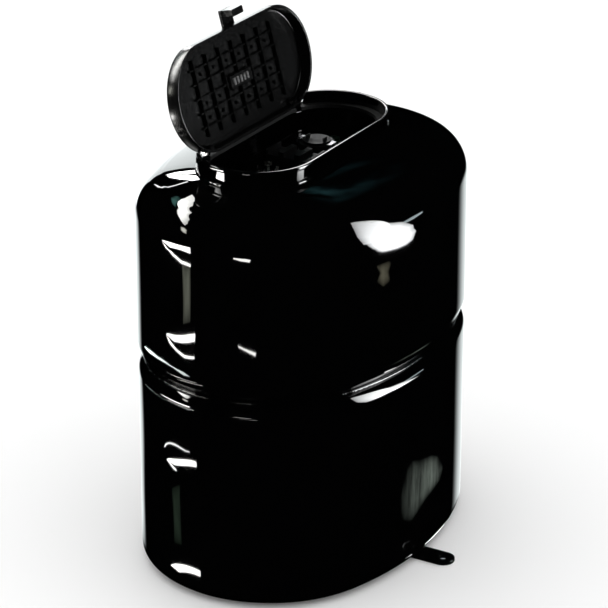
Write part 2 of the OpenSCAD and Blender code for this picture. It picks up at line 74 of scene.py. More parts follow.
COVER_R, COVER_LIP, COVER_TOP = 44.6, 353.5, 366.0
COVER_WALL, COVER_ROOF = 2.4, 2.6
HINGE_Y, HINGE_Z, HINGE_X = 45.3, 359.8, 63.0
OPEN = math.radians(105)
RELIEF_FROM, RELIEF_TO = math.radians(57), math.radians(123)

LUG_Y, LUG_R, LUG_HOLE, PLATE_IN = 136.0, 10.0, 3.3, 16.0

# ---------- mesh helpers ----------


def build(name, points, faces, material, slot, body="root", smooth=True, sharp=40):
    """A mesh piece from points in millimetres; edges sharper than the angle stay crisp."""
    mesh = bpy.data.meshes.new(name)
    mesh.from_pydata([Vector(p) * MM for p in points], [], faces)
    mesh.validate()
    mesh.materials.append(material)
    obj = bpy.data.objects.new(name, mesh)
    bpy.context.scene.collection.objects.link(obj)
    for polygon in mesh.polygons:
        polygon.use_smooth = smooth
    if smooth:
        mesh.set_sharp_from_angle(angle=math.radians(sharp))
    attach(obj, body)
    return obj


def loft(rings, loop=False, cap_first=False, cap_last=False):
    """Points and faces of a skin over rings that all have the same number of points."""
    n, m = len(rings[0]), len(rings)
    points = [p for ring in rings for p in ring]
    faces = []
    for i in range(m if loop else m - 1):
        a, b = i * n, ((i + 1) % m) * n
        for k in range(n):
            l = (k + 1) % n
            faces.append((a + k, a + l, b + l, b + k))
    if cap_first:
        faces.append(tuple(range(n - 1, -1, -1)))
    if cap_last:
        faces.append(tuple((m - 1) * n + k for k in range(n)))
    return points, faces


def merged(parts):
    """Several (points, faces) pairs as one."""
    points, faces = [], []
    for p, f in parts:
        base = len(points)
        points += p
        faces += [tuple(i + base for i in face) for face in f]
    return points, faces


def turns(n):
    """Angles of n points round a full circle."""
    return [2 * math.pi * k / n for k in range(n)]


def arc(cx, cy, r, a, b, n):
    """Points of an arc, angles in degrees."""
    return [(cx + r * math.cos(math.radians(a + (b - a) * i / n)),
             cy + r * math.sin(math.radians(a + (b - a) * i / n))) for i in range(n + 1)]


def rounded_box(x0, x1, y0, y1, z0, z1, r=0.4):
    """A box with chamfered upright and top edges."""
    def ring(inset, z):
        c = r - inset if r > inset else 0.05
        ax, bx, ay, by = x0 + inset, x1 - inset, y0 + inset, y1 - inset
        return [(ax + c, ay, z), (bx - c, ay, z), (bx, ay + c, z), (bx, by - c, z),
                (bx - c, by, z), (ax + c, by, z), (ax, by - c, z), (ax, ay + c, z)]
    rings = [ring(r, z0), ring(0, z0 + r), ring(0, z1 - r), ring(r * 0.7, z1)]
    return loft(rings, cap_first=True, cap_last=True)


def lathe(profile, cx, cy, n):
    """Rings of a turned piece about an upright axis; the profile holds (radius, height)."""
    return [[(cx + r * math.cos(t), cy + r * math.sin(t), z) for t in turns(n)] for r, z in profile]


# ---------- the oval and the obround ----------

END_STEPS, SIDE_STEPS = 72, 48
OVAL_ANGLES = []
for start, stop, count in ((-PHI, PHI, END_STEPS), (PHI, math.pi - PHI, SIDE_STEPS),
                           (math.pi - PHI, math.pi + PHI, END_STEPS),
                           (math.pi + PHI, 2 * math.pi - PHI, SIDE_STEPS)):
    OVAL_ANGLES += [start + (stop - start) * i / count for i in range(count)]


def oval_point(inset, a):
    """Point of the oval, moved inward, where its outward normal has the direction a."""
    c, s = math.cos(a), math.sin(a)
    if abs(c) >= math.cos(PHI) - 1e-9:
        side = 1 if c > 0 else -1
        return side * END_C + (END_R - inset) * c, (END_R - inset) * s
    side = 1 if s > 0 else -1
    return (SIDE_R - inset) * c, -side * SIDE_OFF + (SIDE_R - inset) * s


def inset_at(x, y):
    """How far a point lies inside the oval."""
    side = 1 if y > 0 else -1
    a = math.atan2(y + side * SIDE_OFF, x)
    if abs(math.cos(a)) < math.cos(PHI):
        return SIDE_R - math.hypot(x, y + side * SIDE_OFF)
    return END_R - math.hypot(abs(x) - END_C, y)


def dome_z(inset):
    """Height of the dome's outer face over a point at that inset."""
    return APEX_Z - CROWN_R + math.sqrt(CROWN_R ** 2 - (CROWN_IN - inset) ** 2)


def sway(a, z):
    """Slight unevenness of the drawn steel, always inward."""
    wave = math.sin(2 * a + 0.031 * z)
    wave += 0.6 * math.sin(5 * a - 0.022 * z + 1)
    wave += 0.4 * math.sin(9 * a + 0.05 * z)
    return SWAY * (wave + 2.0)


ROUND_STEPS, STRAIGHT_STEPS = 60, 24

# Direction of the normal and place along the straight, from 1 at the right end to -1 at the left
OBROUND_ANGLES = []
for start, side in ((-90, 1), (90, -1)):
    OBROUND_ANGLES += [(math.radians(start + 180 * i / ROUND_STEPS), side) for i in range(ROUND_STEPS + 1)]
    OBROUND_ANGLES += [(math.radians(start + 180), side - 2 * side * i / STRAIGHT_STEPS)
                       for i in range(1, STRAIGHT_STEPS)]


def obround(r, z):
    """Ring round the terminal box at distance r from its straight centre line."""
    ring = []
    for a, side in OBROUND_ANGLES:
        height = z(a) if callable(z) else z
        ring.append((BOX_X + side * BOX_C + r * math.cos(a), BOX_Y + r * math.sin(a), height))
    return ring


# ---------- materials ----------


def material(name):
    """A new node material, its node tree and its shader."""
    mat = bpy.data.materials.new(name)
    mat.use_nodes = True
    tree = mat.node_tree
    return mat, tree, tree.nodes["Principled BSDF"]


def noise(tree, scale, detail=4.0, stretch=(1, 1, 1), rough=0.5):
    """Noise in object space; scale is in cells per metre."""
    coord = tree.nodes.new("ShaderNodeTexCoord")
    mapping = tree.nodes.new("ShaderNodeMapping")
    mapping.inputs["Scale"].default_value = stretch
    tex = tree.nodes.new("ShaderNodeTexNoise")
    tex.inputs["Scale"].default_value = scale
    tex.inputs["Detail"].default_value = detail
    tex.inputs["Roughness"].default_value = rough
    tree.links.new(coord.outputs["Object"], mapping.inputs["Vector"])
    tree.links.new(mapping.outputs["Vector"], tex.inputs["Vector"])
    return tex.outputs["Fac"]


def ramp(tree, source, low, high, start=0.3, end=0.7):
    """Blend between two values or colours."""
    node = tree.nodes.new("ShaderNodeMapRange" if isinstance(low, float) else "ShaderNodeValToRGB")
    if isinstance(low, float):
        node.inputs["From Min"].default_value = start
        node.inputs["From Max"].default_value = end
        node.inputs["To Min"].default_value = low
        node.inputs["To Max"].default_value = high
        tree.links.new(source, node.inputs["Value"])
        return node.outputs["Result"]
    node.color_ramp.elements[0].position = start
    node.color_ramp.elements[0].color = (*low, 1)
    node.color_ramp.elements[1].position = end
    node.color_ramp.elements[1].color = (*high, 1)
    tree.links.new(source, node.inputs["Fac"])
    return node.outputs["Color"]


def bump(tree, source, strength, distance, below=None):
    """A relief of the given height in metres, on top of the relief below."""
    node = tree.nodes.new("ShaderNodeBump")
    node.inputs["Strength"].default_value = strength
    node.inputs["Distance"].default_value = distance
    tree.links.new(source, node.inputs["Height"])
    if below is not None:
        tree.links.new(below, node.inputs["Normal"])
    return node.outputs["Normal"]


def finish_material(name, dark, light, rough, metallic=0.0, coat=0.0, grain=400.0, relief=0.00002,
                    stretch=(1, 1, 1), wave=0.0, specular=0.5):
    """Colour variation, roughness variation and a fine relief, all from object-space noise."""
    mat, tree, shader = material(name)
    tone = noise(tree, grain * 0.2, 5, stretch)
    tree.links.new(ramp(tree, tone, dark, light), shader.inputs["Base Color"])
    tree.links.new(ramp(tree, noise(tree, grain * 0.35, 3, stretch), rough[0], rough[1]),
                   shader.inputs["Roughness"])
    shader.inputs["Metallic"].default_value = metallic
    shader.inputs["Specular IOR Level"].default_value = specular
    shader.inputs["Coat Weight"].default_value = coat
    shader.inputs["Coat Roughness"].default_value = 0.02
    under = bump(tree, noise(tree, 22, 1), 1.0, wave) if wave else None
    fine = bump(tree, noise(tree, grain, 2, stretch), 0.5, relief, under)
    tree.links.new(fine, shader.inputs["Normal"])
    if under is not None:
        tree.links.new(under, shader.inputs["Coat Normal"])
    return mat


BLACK_PAINT = finish_material("black_gloss_paint", (0.0002, 0.0002, 0.00025), (0.0007, 0.0007, 0.0008),
                              (0.10, 0.16), coat=1.0, grain=900.0, relief=0.000006, wave=0.00003,
                              specular=0.0)
BLACK_PLASTIC = finish_material("black_plastic", (0.0006, 0.0006, 0.0007), (0.0016, 0.0016, 0.0016),
                                (0.16, 0.26), grain=1500.0)
# Light grey plastic for the raised bars: a painted highlight standing in for the glint on raised lettering
BARS_HIGHLIGHT_PLASTIC = finish_material("black_plastic_painted_highlight", (0.03, 0.03, 0.03), (0.14, 0.14, 0.14), (0.3, 0.5),
                               grain=2500.0, relief=0.00003)
SEAL_RUBBER = finish_material("seal_rubber", (0.001, 0.001, 0.001), (0.003, 0.003, 0.003), (0.55, 0.75),
                              grain=1200.0, relief=0.00005)
ZINC_STEEL = finish_material("zinc_steel", (0.5, 0.5, 0.48), (0.72, 0.71, 0.66), (0.2, 0.34), 1.0,
                             grain=700.0)
SEAL_GLASS = finish_material("seal_glass", (0.02, 0.05, 0.06), (0.05, 0.1, 0.12), (0.05, 0.12), coat=0.5)
DARK_PLASTIC = finish_material("dark_plastic", (0.0006, 0.0006, 0.0006), (0.0016, 0.0016, 0.0016),
                               (0.35, 0.5))
GREEN_SCREW = finish_material("green_screw", (0.001, 0.006, 0.002), (0.002, 0.012, 0.004), (0.25, 0.4), 0.4)
COPPER = finish_material("copper", (0.55, 0.24, 0.12), (0.78, 0.4, 0.24), (0.2, 0.42), 1.0, grain=300.0)
GREY_IRON = finish_material("grey_iron", (0.09, 0.09, 0.088), (0.18, 0.175, 0.17), (0.45, 0.7), 0.85,
                            grain=900.0, relief=0.0002)
LAMINATION = finish_material("lamination_steel", (0.2, 0.2, 0.2), (0.34, 0.34, 0.33), (0.3, 0.45), 1.0,
                             grain=900.0, stretch=(0.05, 0.05, 3), relief=0.0001)
WINDING = finish_material("winding_copper", (0.38, 0.12, 0.04), (0.62, 0.24, 0.1), (0.25, 0.4), 0.7,
                          grain=700.0, stretch=(1, 1, 0.15), relief=0.0003)
LACING = finish_material("lacing_tape", (0.5, 0.46, 0.36), (0.68, 0.64, 0.52), (0.7, 0.9), grain=1500.0)
SLEEVE = finish_material("lead_sleeve", (0.45, 0.38, 0.22), (0.6, 0.52, 0.34), (0.5, 0.7), grain=1500.0)
CAST_ALLOY = finish_material("cast_aluminium", (0.5, 0.5, 0.5), (0.68, 0.68, 0.68), (0.35, 0.55), 1.0,
                             grain=900.0, relief=0.0001)
BRASS = finish_material("brass", (0.5, 0.34, 0.12), (0.68, 0.5, 0.2), (0.25, 0.4), 1.0)
GROUND_STEEL = finish_material("ground_steel", (0.48, 0.48, 0.5), (0.62, 0.62, 0.64), (0.12, 0.25), 1.0,
                               grain=1200.0, stretch=(1, 1, 0.05))
SPRING_STEEL = finish_material("spring_steel", (0.28, 0.28, 0.3), (0.42, 0.42, 0.44), (0.2, 0.35), 1.0)

# ---------- welded shell ----------


def shell_ring(inset, z):
    """Ring of the shell's wall at one height."""
    return [(*oval_point(inset + sway(a, z), a), z) for a in OVAL_ANGLES]


def thickened(path):
    """A path of (inset, z) and the same path one shell thickness further in."""
    inner = []
    for i in range(len(path)):
        a, b = path[max(i - 1, 0)], path[min(i + 1, len(path) - 1)]
        dx, dz = b[0] - a[0], b[1] - a[1]
        length = math.hypot(dx, dz)
        inner.append((path[i][0] + SHELL_T * dz / length, path[i][1] - SHELL_T * dx / length))
    return inner


def lower_shell():
    lip = math.degrees(math.acos(1 - LIP_IN / LIP_DOWN_R))
    lip_z = SEAM_Z - WELD_H - LIP_DOWN_R * math.sin(math.radians(lip))
    wall_z = BASE_T + BOTTOM_R
    path = [(60.0, BASE_T), (30.0, BASE_T)]
    path += arc(BOTTOM_R, wall_z, BOTTOM_R, 270, 180, 14)
    path += [(0.0, wall_z + (lip_z - wall_z) * i / 26) for i in range(1, 26)]
    path += arc(LIP_DOWN_R, lip_z, LIP_DOWN_R, 180, 180 - lip, 14)
    inner = thickened(path)
    rings = [shell_ring(t, z) for t, z in path] + [shell_ring(t, z) for t, z in reversed(inner)]
    obj = build("lower_shell_skin", *loft(rings, cap_first=True, cap_last=True), BLACK_PAINT,
                "black_gloss_paint")
    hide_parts("lower_shell")


def dome_rings(drop, radius, count):
    """Rings from the knee of the dome to the opening for the terminal box."""
    rings = []
    for i in range(1, count + 1):
        s = i / count
        ring = []
        for a in OVAL_ANGLES:
            qx, qy = oval_point(KNEE_IN, a)
            cx = max(BOX_X - BOX_C, min(BOX_X + BOX_C, qx))
            d = math.hypot(qx - cx, qy - BOX_Y)
            px = cx + radius * (qx - cx) / d
            py = BOX_Y + radius * (qy - BOX_Y) / d
            x, y = qx + (px - qx) * s, qy + (py - qy) * s
            ring.append((x, y, dome_z(inset_at(x, y)) - drop))
        rings.append(ring)
    return rings


def upper_shell():
    lip = math.degrees(math.acos(1 - LIP_IN / LIP_UP_R))
    lip_z = SEAM_Z + WELD_H + LIP_UP_R * math.sin(math.radians(lip))
    path = arc(LIP_UP_R, lip_z, LIP_UP_R, 180 + lip, 180, 18)
    path += [(0.0, lip_z + (WALL_TOP - lip_z) * i / 18) for i in range(1, 18)]
    path += arc(SHOULDER_R, WALL_TOP, SHOULDER_R, 180, 90 + math.degrees(DOME_SLOPE), 24)
    inner = thickened(path)
    rings = [shell_ring(t, z) for t, z in path]
    opening = BOX_OUT - 0.8
    rings += dome_rings(0, opening, 22)
    rings += reversed(dome_rings(SHELL_T, opening, 22))
    rings += [shell_ring(t, z) for t, z in reversed(inner)]
    obj = build("upper_shell_skin", *loft(rings, loop=True), BLACK_PAINT, "black_gloss_paint")
    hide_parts("upper_shell")


def girth_weld():
    """Rippled bead in the valley of the seam."""
    rings = []
    stations = 900
    for i in range(stations):
        a = OVAL_ANGLES[0] + 2 * math.pi * i / stations
        x, y = oval_point(LIP_IN - 0.2, a)
        r = 2.0 + 0.05 * math.sin(i * 1.9) + 0.08 * math.sin(i * 0.37)
        rings.append([(x + (r * math.cos(t) - 0.3) * math.cos(a),
                       y + (r * math.cos(t) - 0.3) * math.sin(a),
                       SEAM_Z + 0.9 * r * math.sin(t)) for t in turns(10)])
    obj = build("girth_weld_bead", *loft(rings, loop=True), BLACK_PAINT, "black_gloss_paint", sharp=180)
    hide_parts("girth_weld")


def base_plate():
    """Flat plate with two lugs, its edges rolled over slightly."""
    curve = bpy.data.curves.new("base_plate_outline", "CURVE")
    curve.dimensions = "2D"
    curve.fill_mode = "BOTH"
    edge = 0.5
    curve.extrude = (BASE_T / 2 - edge) * MM
    curve.bevel_depth = edge * MM
    curve.bevel_resolution = 3
    outline = []
    fillet = 7.0
    half = LUG_R - edge
    for sign in (1, -1):
        side = [p for p in (oval_point(PLATE_IN + edge, a) for a in OVAL_ANGLES)
                if (p[0] if sign > 0 else -p[0]) > 0 and abs(p[0]) > half + fillet]
        side.sort(key=lambda p: sign * p[1])
        outline += side
        root_y = oval_point(PLATE_IN + edge, math.pi / 2)[1]
        corner = [(half + fillet - fillet * math.sin(t), root_y + fillet * (1 - math.cos(t)))
                  for t in [math.pi / 2 * i / 8 for i in range(9)]]
        tip = [(half * math.cos(t), LUG_Y + half * math.sin(t))
               for t in [math.pi * i / 32 for i in range(33)]]
        lug = corner + tip + [(-x, y) for x, y in reversed(corner)]
        outline += [(sign * x, sign * y) for x, y in lug]
    hole = LUG_HOLE + edge
    loops = [outline]
    loops += [[(hole * math.cos(t), sign * LUG_Y + hole * math.sin(t)) for t in turns(48)]
              for sign in (1, -1)]
    for loop_points in loops:
        spline = curve.splines.new("POLY")
        spline.points.add(len(loop_points) - 1)
        for point, (x, y) in zip(spline.points, loop_points):
            point.co = (x * MM, y * MM, 0, 1)
        spline.use_cyclic_u = True
    source = bpy.data.objects.new("base_plate_outline", curve)
    bpy.context.scene.collection.objects.link(source)
    mesh = bpy.data.meshes.new_from_object(source.evaluated_get(bpy.context.evaluated_depsgraph_get()))
    bpy.data.objects.remove(source)
    mesh.transform(Matrix.Translation((0, 0, BASE_T / 2 * MM)))
    points = [v.co / MM for v in mesh.vertices]
    faces = [tuple(p.vertices) for p in mesh.polygons]
    bpy.data.meshes.remove(mesh)
    obj = build("base_plate_pressed", points, faces, BLACK_PAINT, "black_gloss_paint")
    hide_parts("base_plate")


# ---------- terminal box ----------


def notched(z):
    """The rim's height, cut down along the back where the open cover stands."""
    return lambda a: min(z, NOTCH_Z) if NOTCH_FROM < a < NOTCH_TO else z


def terminal_box():
    """Pressed box with a rolled rim, a ledge for the gasket and a well for the fittings."""
    roll = 0.9
    profile = [(BOX_OUT, BOX_BOTTOM), (BOX_OUT, 340.0), (BOX_OUT, RIM_Z - 4.0)]
    profile += arc(BOX_RIM - roll, RIM_Z - 2.6, roll, -60, 0, 4)
    profile += arc(BOX_RIM - roll, RIM_Z - roll, roll, 0, 90, 6)
    profile += arc(BOX_IN + roll, RIM_Z - roll, roll, 90, 180, 6)
    profile += [(BOX_IN, LEDGE_Z + 1.2)] + arc(BOX_IN - 1.2, LEDGE_Z + 1.2, 1.2, 0, -90, 4)
    profile += arc(WELL_R + 1.0, LEDGE_Z - 1.0, 1.0, 90, 180, 4)
    profile += arc(WELL_R - 2.0, BOX_FLOOR + 2.0, 2.0, 0, -90, 5)
    rings = [obround(r, notched(z)) for r, z in profile]
    obj = build("terminal_box_pressed", *loft(rings, cap_first=True, cap_last=True), BLACK_PAINT,
                "black_gloss_paint", sharp=50)
    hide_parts("terminal_box")

    # fillet of weld where the box passes through the dome
    rings = []
    for i, (x, y, _) in enumerate(obround(BOX_OUT + 0.5, 0.0)):
        a = OBROUND_ANGLES[i][0]
        z = dome_z(inset_at(x, y)) + 0.1
        r = 1.7 + 0.15 * math.sin(i * 2.3)
        rings.append([(x + r * math.cos(t) * math.cos(a), y + r * math.cos(t) * math.sin(a),
                       z + r * math.sin(t)) for t in turns(12)])
    build("box_weld_bead", *loft(rings, loop=True), BLACK_PAINT, "black_gloss_paint", sharp=180)


# ---------- terminal cover ----------

SWING = (Matrix.Translation((0, HINGE_Y, HINGE_Z)) @ Matrix.Rotation(-OPEN, 4, "X")
         @ Matrix.Translation((0, -HINGE_Y, -HINGE_Z)))


def swung(points):
    """Points of the closed cover, moved to its open rest position."""
    return [tuple(SWING @ Vector(p)) for p in points]


def relieved(z):
    """Lower edge of the cover, raised along the hinge side to clear the gasket."""
    return lambda a: max(z, COVER_LIP + 1.6) if RELIEF_FROM < a < RELIEF_TO else z


def terminal_cover():
    """Moulded cover with a stiffening grid inside, a latch hook and hinge bosses."""
    inner_r, roof = COVER_R - COVER_WALL, COVER_TOP - COVER_ROOF
    profile = [(20.0, roof), (inner_r - 1.5, roof)] + arc(inner_r - 1.5, roof - 1.5, 1.5, 90, 0, 5)
    profile += [(inner_r, COVER_LIP + 0.6)] + arc(inner_r + 0.6, COVER_LIP + 0.6, 0.6, 180, 270, 3)
    profile += arc(COVER_R - 0.6, COVER_LIP + 0.6, 0.6, 270, 360, 3)
    profile += arc(COVER_R - 3.0, COVER_TOP - 3.0, 3.0, 0, 90, 8) + [(20.0, COVER_TOP)]
    rings = [obround(r, relieved(z)) for r, z in profile]
    parts = [loft(rings, cap_first=True, cap_last=True)]

    def block(x0, x1, y0, y1, z0, z1, r=0.4):
        """A rounded box placed from the middle of the cover."""
        return rounded_box(BOX_X + x0, BOX_X + x1, BOX_Y + y0, BOX_Y + y1, z0, z1, r)

    # stiffening grid and pips inside
    parts += [block(x - 0.8, x + 0.8, -32, 32, roof - 3.4, roof + 0.5) for x in range(-60, 61, 20)]
    parts += [block(-66, 66, y - 0.8, y + 0.8, roof - 2.4, roof + 0.5) for y in range(-24, 25, 12)]
    for x in range(-50, 51, 20):
        for y in (-18, 6, 18):
            pip = [(1.5, roof + 0.5), (1.5, roof - 1.6), (1.1, roof - 2.0)]
            parts.append(loft(lathe(pip, BOX_X + x, BOX_Y + y, 16), cap_first=True, cap_last=True))
    # plain raised bars in the middle, coloured light grey as a painted highlight
    parts.append(block(-17, 17, -6, 6, roof - 4.2, roof + 0.5, 0.8))
    bars = [block(x - 1.3, x + 1.3, -3, 3, roof - 5.2, roof - 3.8) for x in (-11, -6, -1, 4, 9)]
    points, faces = merged(bars)
    build("cover_raised_bars", swung(points), faces, BARS_HIGHLIGHT_PLASTIC, "black_plastic", "cover", sharp=35)
    # latch hook over the rim, with grip ridges
    hook = -COVER_R - 12.8
    parts.append(block(-1, 15, hook, hook + 14.8, RIM_Z + 0.4, RIM_Z + 3.6, 0.7))
    parts.append(block(-1, 15, hook, hook + 6, RIM_Z - 11, RIM_Z + 1, 0.7))
    parts += [block(x - 0.9, x + 0.9, hook, hook + 8.8, RIM_Z + 3, RIM_Z + 4.2)
              for x in (1.5, 5.2, 8.8, 12.5)]
    # hinge bosses
    for side in (-1, 1):
        start = BOX_X + side * (HINGE_X + 1)
        rings = []
        for r, along in ((1.7, 0.0), (2.8, 0.0), (3.2, 0.4), (3.2, 4.1), (2.8, 4.5), (1.7, 4.5)):
            rings.append([(start + side * along, HINGE_Y + r * math.cos(t), HINGE_Z + r * math.sin(t))
                          for t in turns(40)])
        parts.append(loft(rings, loop=True))
    points, faces = merged(parts)
    obj = build("terminal_cover_moulded", swung(points), faces, BLACK_PLASTIC, "black_plastic", "cover",
                sharp=35)
    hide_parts("terminal_cover")


# ---------- tube stubs ----------


def stub(name, node, start, axis, r, hole, outer, depth, collar):
    """Drawn tube with a rounded mouth, a braze fillet at the wall and a stop inside."""
    side = Vector((0, 0, 1)).cross(Vector(axis))
    up = Vector((0, 0, 1))
    profile = [(hole - 1, -6.0), (r, -6.0), (r, 0.0)]
    profile += [(r + collar, 0.2), (r + collar * 0.55, 1.2), (r + collar * 0.2, 2.6), (r, 4.2)]
    profile += [(r, outer - 0.6), (r - 0.3, outer - 0.1), (r - 0.6, outer)]
    profile += [(hole + 0.3, outer), (hole, outer - 0.5)]
    profile += [(hole, outer - depth), (hole - 1, outer - depth - 0.4)]
    rings = []
    for radius, along in profile:
        centre = Vector(start) + Vector(axis) * along
        rings.append([tuple(centre + side * (radius * math.cos(t)) + up * (radius * math.sin(t)))
                      for t in turns(64)])
    obj = build(name, *loft(rings, loop=True), COPPER, "copper", sharp=50)
    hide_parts(node)


lower_shell()
upper_shell()
girth_weld()
base_plate()
terminal_box()
terminal_cover()
stub("suction_tube", "suction_stub", (108, 96, 270), (0, 1, 0), 12.7, 11.15, 46, 38, 4.0)
stub("discharge_tube", "discharge_stub", (20, HALF_WID, 290), (0, 1, 0), 8.0, 6.4, 34, 30, 2.6)
stub("process_tube", "process_stub", (HALF_LEN, 0, 60), (1, 0, 0), 4.8, 3.2, 26, 22, 1.8)

# ---------- carried-over nodes get their materials by node name ---------

NODE_MATERIAL = {
    "box_gasket": SEAL_RUBBER, "hinge_pins": ZINC_STEEL, "hinge_ears": BLACK_PAINT,
    "hermetic_terminal": ZINC_STEEL, "terminal_glass": SEAL_GLASS, "terminal_pins": ZINC_STEEL,
    "terminal_block": DARK_PLASTIC, "overload_protector": DARK_PLASTIC, "protector_clip": SPRING_STEEL,
    "ground_screw": GREEN_SCREW, "lead_grommet": SEAL_RUBBER, "stay_plate": GREY_IRON,
    "stator_sleeve": GREY_IRON, "stator_core": LAMINATION, "upper_winding": WINDING,
    "lower_winding": WINDING, "winding_ties": LACING, "motor_leads": SLEEVE, "rotor_core": LAMINATION,
    "rotor_end_rings": CAST_ALLOY, "balance_weights": BRASS, "crankshaft": GROUND_STEEL,
    "oil_paddle": SPRING_STEEL, "upper_bearing": GREY_IRON, "lower_bearing": GREY_IRON,
    "cylinder": GREY_IRON, "roller": GROUND_STEEL, "vane": GROUND_STEEL, "vane_spring": SPRING_STEEL,
    "discharge_reed": SPRING_STEEL, "reed_stop": ZINC_STEEL, "discharge_muffler": ZINC_STEEL,
    "pump_bolts": ZINC_STEEL, "lower_bolts": ZINC_STEEL, "accumulator": BLACK_PAINT,
    "accumulator_inlet": COPPER, "pump_suction_pipe": COPPER, "accumulator_band": ZINC_STEEL,
}
for name, finish in NODE_MATERIAL.items():
    nodes[name].data.materials.clear()
    nodes[name].data.materials.append(finish)

# ---------- floor, camera and light ----------

scene = bpy.context.scene
scene.view_settings.view_transform = "Standard"


def floor():
    """A plain pale floor that the gloss doesn't see."""
    mat, _, shader = material("pale_floor")
    shader.inputs["Base Color"].default_value = (0.86, 0.86, 0.86, 1)
    shader.inputs["Roughness"].default_value = 0.8
    mesh = bpy.data.meshes.new("floor")
    far = 6.0
    mesh.from_pydata([(-far, -far, 0), (far, -far, 0), (far, far, 0), (-far, far, 0)], [], [(0, 1, 2, 3)])
    mesh.materials.append(mat)
    obj = bpy.data.objects.new("floor", mesh)
    scene.collection.objects.link(obj)
    obj.visible_glossy = False


# Where the camera stands and what it looks at, in degrees and metres
CAMERA_AZIMUTH, CAMERA_ELEVATION, CAMERA_DISTANCE = -59.67, 23.88, 2.526
TARGET_HEIGHT, TARGET_RISE, LENS = 0.180, 0.024, 177.5


def camera():
    """A long lens from the front left, a little above the object."""
    azimuth, elevation = math.radians(CAMERA_AZIMUTH), math.radians(CAMERA_ELEVATION)
    target = Vector((0, 0, TARGET_HEIGHT))
    back = Vector((math.sin(azimuth) * math.cos(elevation), -math.cos(azimuth) * math.cos(elevation),
                   math.sin(elevation)))
    eye = target + back * CAMERA_DISTANCE
    up = back.cross(Vector((math.cos(azimuth), math.sin(azimuth), 0)))
    aim = target + up * TARGET_RISE
    data = bpy.data.cameras.new("camera")
    data.sensor_width = 36
    data.lens = LENS
    obj = bpy.data.objects.new("camera", data)
    scene.collection.objects.link(obj)
    obj.location = eye
    obj.rotation_euler = (aim - eye).to_track_quat("-Z", "Y").to_euler()
    scene.camera = obj


# The horizontal line of sight behind the object. Round it the gloss sees a pale backdrop low
# down (half widths in degrees, heights as sines of elevation) and a faint teal glow higher up.
SIGHT = (0.863, 0.505)
GLOW_SIGHT = (0.914, 0.407)
BACKDROP_WIDTH, BACKDROP_FOOT, BACKDROP_TOP = (20.0, 32.0), (-0.478, -0.455), (-0.35, -0.27)
GLOW_WIDTH, GLOW_FOOT, GLOW_TOP = (2.0, 13.0), (0.48, 0.6), (0.66, 0.74)
BACKDROP_POWER, GLOW_POWER, SURROUND_POWER = 1.5, 0.3, 1.3
BACKDROP_COLOUR, GLOW_COLOUR = (0.93, 1.0, 1.0), (0.3, 0.9, 1.0)


def world():
    """White surroundings; the gloss sees black, but for a backdrop and a glow behind the object."""
    data = bpy.data.worlds.new("studio")
    scene.world = data
    data.cycles.sampling_method = "NONE"
    data.use_nodes = True
    tree = data.node_tree
    tree.nodes.clear()
    link = tree.links.new

    def combine(operation, *inputs):
        node = tree.nodes.new("ShaderNodeMath")
        node.operation = operation
        for socket, value in zip(node.inputs, inputs):
            if isinstance(value, float):
                socket.default_value = value
            else:
                link(value, socket)
        return node.outputs["Value"]

    def step(source, start, end, low=0.0, high=1.0):
        node = tree.nodes.new("ShaderNodeMapRange")
        node.interpolation_type = "SMOOTHSTEP"
        link(source, node.inputs["Value"])
        for key, value in (("From Min", start), ("From Max", end), ("To Min", low), ("To Max", high)):
            node.inputs[key].default_value = value
        return node.outputs["Result"]

    def background(colour, strength):
        node = tree.nodes.new("ShaderNodeBackground")
        node.inputs["Color"].default_value = (*colour, 1)
        if isinstance(strength, float):
            node.inputs["Strength"].default_value = strength
        else:
            link(strength, node.inputs["Strength"])
        return node.outputs["Background"]

    coord = tree.nodes.new("ShaderNodeTexCoord")
    split = tree.nodes.new("ShaderNodeSeparateXYZ")
    link(coord.outputs["Generated"], split.inputs["Vector"])
    x, y, z = split.outputs
    level = combine("SQRT", combine("ADD", combine("MULTIPLY", x, x), combine("MULTIPLY", y, y)))
    cloud = tree.nodes.new("ShaderNodeTexNoise")
    cloud.inputs["Scale"].default_value = 9.0
    cloud.inputs["Detail"].default_value = 5.0
    link(coord.outputs["Generated"], cloud.inputs["Vector"])

    def patch(sight, width, foot, top, power):
        """A soft-edged rectangle of directions round the line of sight."""
        along = combine("ADD", combine("MULTIPLY", x, sight[0]), combine("MULTIPLY", y, sight[1]))
        facing = combine("DIVIDE", along, combine("MAXIMUM", level, 0.0001))
        near, far = (math.cos(math.radians(a)) for a in width)
        column = combine("MULTIPLY", step(facing, far, near), step(z, *foot))
        return combine("MULTIPLY", combine("MULTIPLY", column, step(z, *top, 1.0, 0.0)), power)

    gloss = tree.nodes.new("ShaderNodeAddShader")
    sheet = patch(SIGHT, BACKDROP_WIDTH, BACKDROP_FOOT, BACKDROP_TOP, BACKDROP_POWER)
    glow = patch(GLOW_SIGHT, GLOW_WIDTH, GLOW_FOOT, GLOW_TOP, GLOW_POWER)
    link(background(BACKDROP_COLOUR, sheet), gloss.inputs[0])
    link(background(GLOW_COLOUR, combine("MULTIPLY", glow, step(cloud.outputs["Fac"], 0.42, 0.68))),
         gloss.inputs[1])
    path = tree.nodes.new("ShaderNodeLightPath")
    mix = tree.nodes.new("ShaderNodeMixShader")
    link(path.outputs["Is Glossy Ray"], mix.inputs["Fac"])
    link(background((1.0, 1.0, 1.0), SURROUND_POWER), mix.inputs[1])
    link(gloss.outputs["Shader"], mix.inputs[2])
    out = tree.nodes.new("ShaderNodeOutputWorld")
    link(mix.outputs["Shader"], out.inputs["Surface"])


def direction(azimuth, elevation):
    """Unit vector; azimuth 0 looks to -Y and 90 to +X, in degrees."""
    a, e = math.radians(azimuth), math.radians(elevation)
    return Vector((math.sin(a) * math.cos(e), -math.cos(a) * math.cos(e), math.sin(e)))


